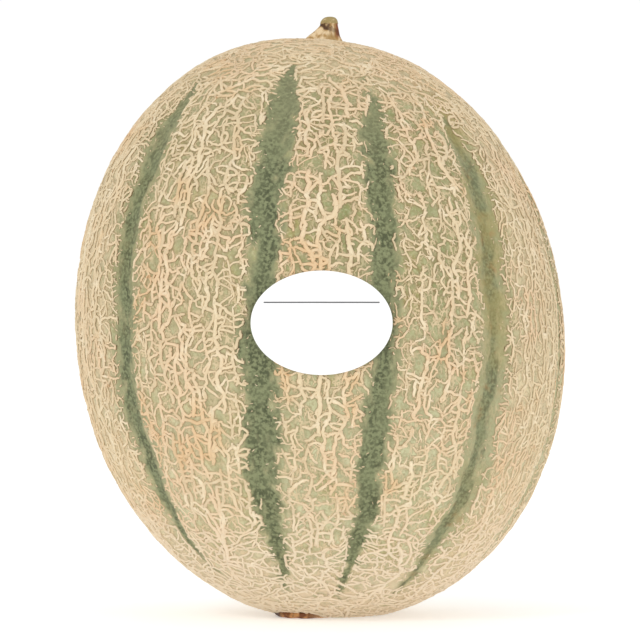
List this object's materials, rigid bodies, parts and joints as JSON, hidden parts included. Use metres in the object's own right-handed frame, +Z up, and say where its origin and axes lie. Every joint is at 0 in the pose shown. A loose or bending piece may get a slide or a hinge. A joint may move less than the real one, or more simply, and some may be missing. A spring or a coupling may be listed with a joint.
{
  "type": "cantaloupe melon",
  "caption": "Whole netted cantaloupe melon standing on its blossom end, with shallow ribs, a cut stem stub and a blank oval label.",
  "frame": {"origin": "centre of the melon's overall box, at the level of the surface it stands on", "axes": "+Z up along the melon's length, from the blossom end to the stem; the label faces -Y; +X is to the right as the label is read"},
  "size_m": [0.1474, 0.1481, 0.1797],
  "materials": {
    "rind": "matte netted rind",
    "stem": "dry and matte",
    "scar": "matte cork",
    "label": "smooth white paper"
  },
  "bodies": {
    "root": {"fruit": "rind", "stem_stub": "stem", "blossom_scar": "scar", "label": "label"}
  },
  "joints": []
}
